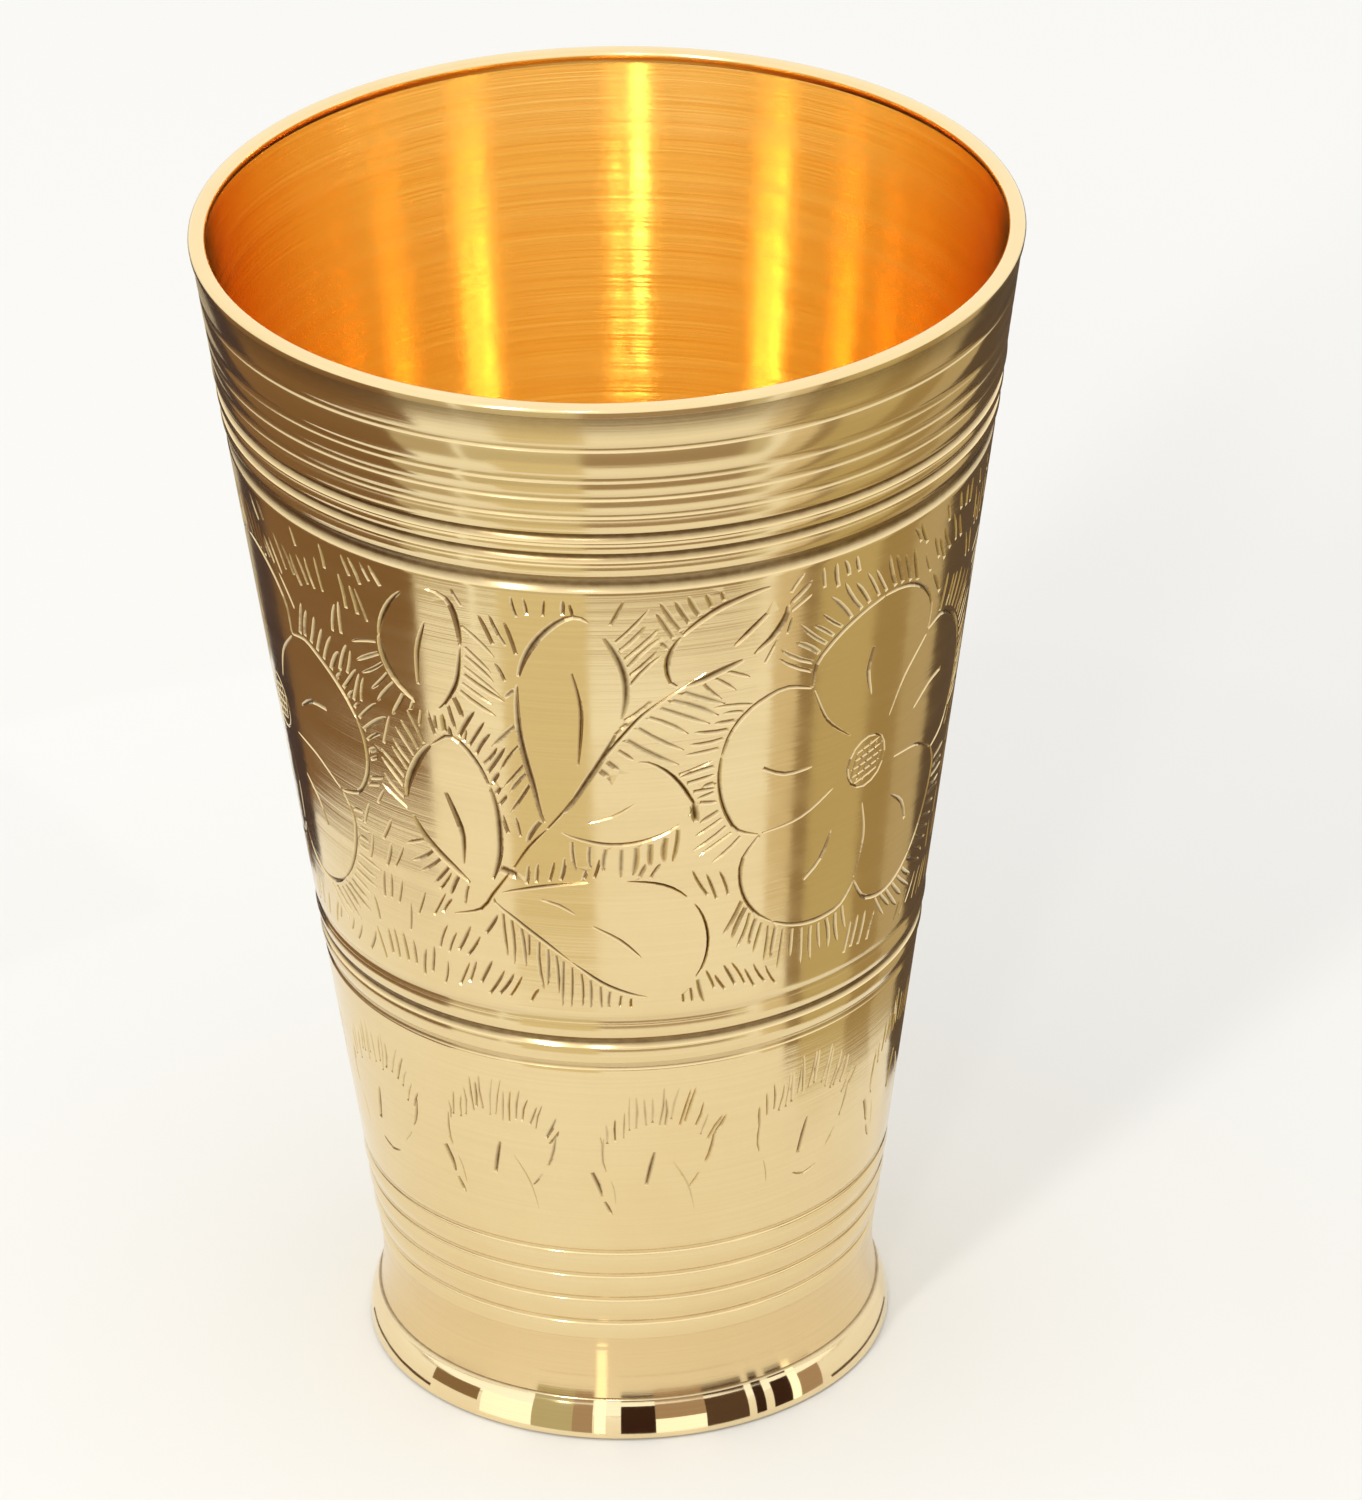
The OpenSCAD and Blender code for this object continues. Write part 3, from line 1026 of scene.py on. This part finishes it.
table_mesh = bpy.data.meshes.new("table")
half = 6.0
table_mesh.from_pydata([(-half, -half, 0), (half, -half, 0), (half, half, 0), (-half, half, 0)],
                       [], [(0, 1, 2, 3)])
table = bpy.data.objects.new("table", table_mesh)
table.location.z = cad_low.z - 0.0002
bpy.context.scene.collection.objects.link(table)
table_mesh.materials.append(stage_material("pale_table", (0.74, 0.74, 0.73)))

world = bpy.data.worlds.new("room")
bpy.context.scene.world = world
world.use_nodes = True
world.node_tree.nodes["Background"].inputs["Color"].default_value = (1.0, 0.995, 0.98, 1)
world.node_tree.nodes["Background"].inputs["Strength"].default_value = 1.2


def softbox(name, azimuth, elevation, away, width, length, power):
    """A soft lamp aimed at the tumbler. Azimuth 0 is in front and 90 is to the right."""
    lamp = bpy.data.lights.new(name, "AREA")
    lamp.shape = "RECTANGLE"
    lamp.size = width
    lamp.size_y = length
    lamp.energy = power
    lamp.color = (1.0, 0.98, 0.94)
    light = bpy.data.objects.new(name, lamp)
    a = math.radians(azimuth)
    e = math.radians(elevation)
    way = Vector((math.sin(a) * math.cos(e), -math.cos(a) * math.cos(e), math.sin(e)))
    light.location = centre + way * away
    light.rotation_euler = way.to_track_quat("Z", "Y").to_euler()
    bpy.context.scene.collection.objects.link(light)


softbox("side_strip", -9, 33, 1.5, 0.08, 0.22, 1.6)
softbox("centre_strip", -29, 28, 1.5, 0.08, 0.85, 6.4)


def painted_reflection_card(name, colour, turns, inner, outer, low, high):
    """A glowing card, no lamp, that paints a reflection of the room on the brass. Only the brass
    mirrors it: the camera and the table don't see it, and it casts no shadow. It is part of a
    ring about the tumbler, from one radius and height to another."""
    verts = []
    steps = 12
    for i in range(steps + 1):
        a = math.radians(turns[0] + (turns[1] - turns[0]) * i / steps)
        verts.append((inner * math.sin(a), -inner * math.cos(a), low))
        verts.append((outer * math.sin(a), -outer * math.cos(a), high))
    faces = [(2 * i, 2 * i + 2, 2 * i + 3, 2 * i + 1) for i in range(steps)]
    mesh = bpy.data.meshes.new(name)
    mesh.from_pydata(verts, [], faces)
    mesh.materials.append(stage_material(name, colour, 1.0))
    card = bpy.data.objects.new(name, mesh)
    bpy.context.scene.collection.objects.link(card)
    card.visible_camera = False
    card.visible_diffuse = False
    card.visible_shadow = False
    card.visible_transmission = False


# Far cards lie flat over the table round the tumbler. Their glow is painted reflection, seen
# only in the brass. Each has a colour, the turns it runs between and how near and far it
# lies. A later card lies above the ones before it.
card_step = 0.0003
far_cards = (
    ("far_left", (0.5, 0.42, 0.28), (-180, -42), 0.166, 0.6),
    ("far_front", (0.6, 0.54, 0.38), (-40, 42), 0.165, 0.6),
    ("far_right", (0.5, 0.43, 0.25), (60, 180), 0.17, 0.6),
    ("left_edge", (0.04, 0.015, 0.012), (-150, -128), 0.112, 0.6),
    ("left_brown", (0.2, 0.1, 0.03), (-128, -60), 0.125, 0.6),
    ("front_dim", (0.76, 0.68, 0.46), (-34, -8), 0.1, 0.2),
    ("front_brown", (0.34, 0.24, 0.14), (-8, 36), 0.172, 0.6),
    ("right_pink", (0.72, 0.62, 0.44), (47, 56), 0.1, 0.6),
    ("right_streak", (0.3, 0.21, 0.1), (56, 62), 0.08, 0.6),
    ("right_olive", (0.53, 0.44, 0.23), (62, 84), 0.074, 0.6),
    ("right_dark", (0.36, 0.26, 0.11), (84, 100), 0.072, 0.6),
    ("right_outer", (0.47, 0.38, 0.22), (100, 120), 0.074, 0.6),
    ("right_edge", (0.08, 0.045, 0.02), (119, 178), 0.06, 0.6),
)
for i, (name, colour, turns, inner, outer) in enumerate(far_cards):
    lift = cad_low.z + card_step * (i + 1)
    painted_reflection_card(name + "_card", colour, turns, inner, outer, lift, lift)

# How far from the axis the near cards stand, in metres.
near_card = 0.0316


def faced(turn):
    """Which way round the tumbler a spot on the foot ring sends the front view, where it
    meets a card that stands close by."""
    a = math.radians(turn)
    here = ring_r * MM
    leg = -here * math.cos(a) + math.sqrt((here * math.cos(a)) ** 2 + near_card ** 2 - here ** 2)
    across = here * math.sin(a) + leg * math.sin(2 * a)
    ahead = here * math.cos(a) + leg * math.cos(2 * a)
    return math.degrees(math.atan2(across, ahead))


# Near cards stand close round the foot, for the ring to mirror: their glow is painted
# reflection, bright and dark blocks on the ring. Each has a colour, the part of the ring
# that shows it, and the heights it stands between, in millimetres.
GLOW = (1.7, 1.6, 1.3)
CREAM = (1.3, 1.3, 1.2)
BLACK_REFLECTION = (0.03, 0.008, 0.005)
DARK_BROWN_REFLECTION = (0.09, 0.05, 0.03)
ROSE = (0.4, 0.28, 0.19)
near_cards = (
    (BLACK_REFLECTION, (-2.4, 5.3), 0.05, 4.6),
    (CREAM, (5.3, 16.7), 0.05, 2.3),
    (ROSE, (5.3, 16.7), 2.3, 4.8),
    (DARK_BROWN_REFLECTION, (16.7, 26.7), 0.05, 4.7),
    (BLACK_REFLECTION, (28.5, 31), 0.05, 4.7),
    (BLACK_REFLECTION, (33.1, 38), 0.05, 4.4),
    (GLOW, (38.2, 40.4), 0.05, 4.4),
    (ROSE, (40.6, 47), 0.05, 3.8),
    (GLOW, (-8.2, -5.8), 0.05, 8.4),
    (ROSE, (-13.2, -8.7), 0.05, 4.8),
    ((0.5, 0.45, 0.28), (-22.6, -13.2), 0.05, 4.8),
    (CREAM, (-35.3, -22.6), 0.05, 3.6),
    ((0.24, 0.15, 0.08), (-49.4, -36.1), 1.6, 3.6),
    (DARK_BROWN_REFLECTION, (50, 80), 0.02, 0.45),
    (DARK_BROWN_REFLECTION, (-80, -50), 0.02, 0.45),
)
for i, (colour, spans, foot, top) in enumerate(near_cards):
    turns = (faced(spans[0]), faced(spans[1]))
    painted_reflection_card("near_card_%d" % i, colour, turns, near_card, near_card + 0.0002,
              cad_low.z + foot * MM, cad_low.z + top * MM)

camera_data = bpy.data.cameras.new("camera")
camera_data.lens = 249.4
camera_data.sensor_width = 36
camera_data.sensor_fit = "AUTO"
camera_data.shift_x = 0.0418
camera_data.shift_y = 0.0175
camera_data.clip_start = 0.01
camera = bpy.data.objects.new("camera", camera_data)
elevation = math.radians(28.77)
tilt = math.radians(-1.2)
distance = 8.4365 * tall
aim = Vector((0, 0, cad_low.z + tall / 2))
camera.location = aim + distance * Vector((0, -math.cos(elevation), math.sin(elevation)))
camera.rotation_mode = "QUATERNION"
level = (camera.location - aim).to_track_quat("Z", "Y")
camera.rotation_quaternion = level @ Quaternion((0, 0, 1), tilt)
bpy.context.scene.collection.objects.link(camera)
bpy.context.scene.camera = camera
bpy.context.scene.view_settings.view_transform = "Standard"
bpy.context.scene.cycles.glossy_bounces = 12
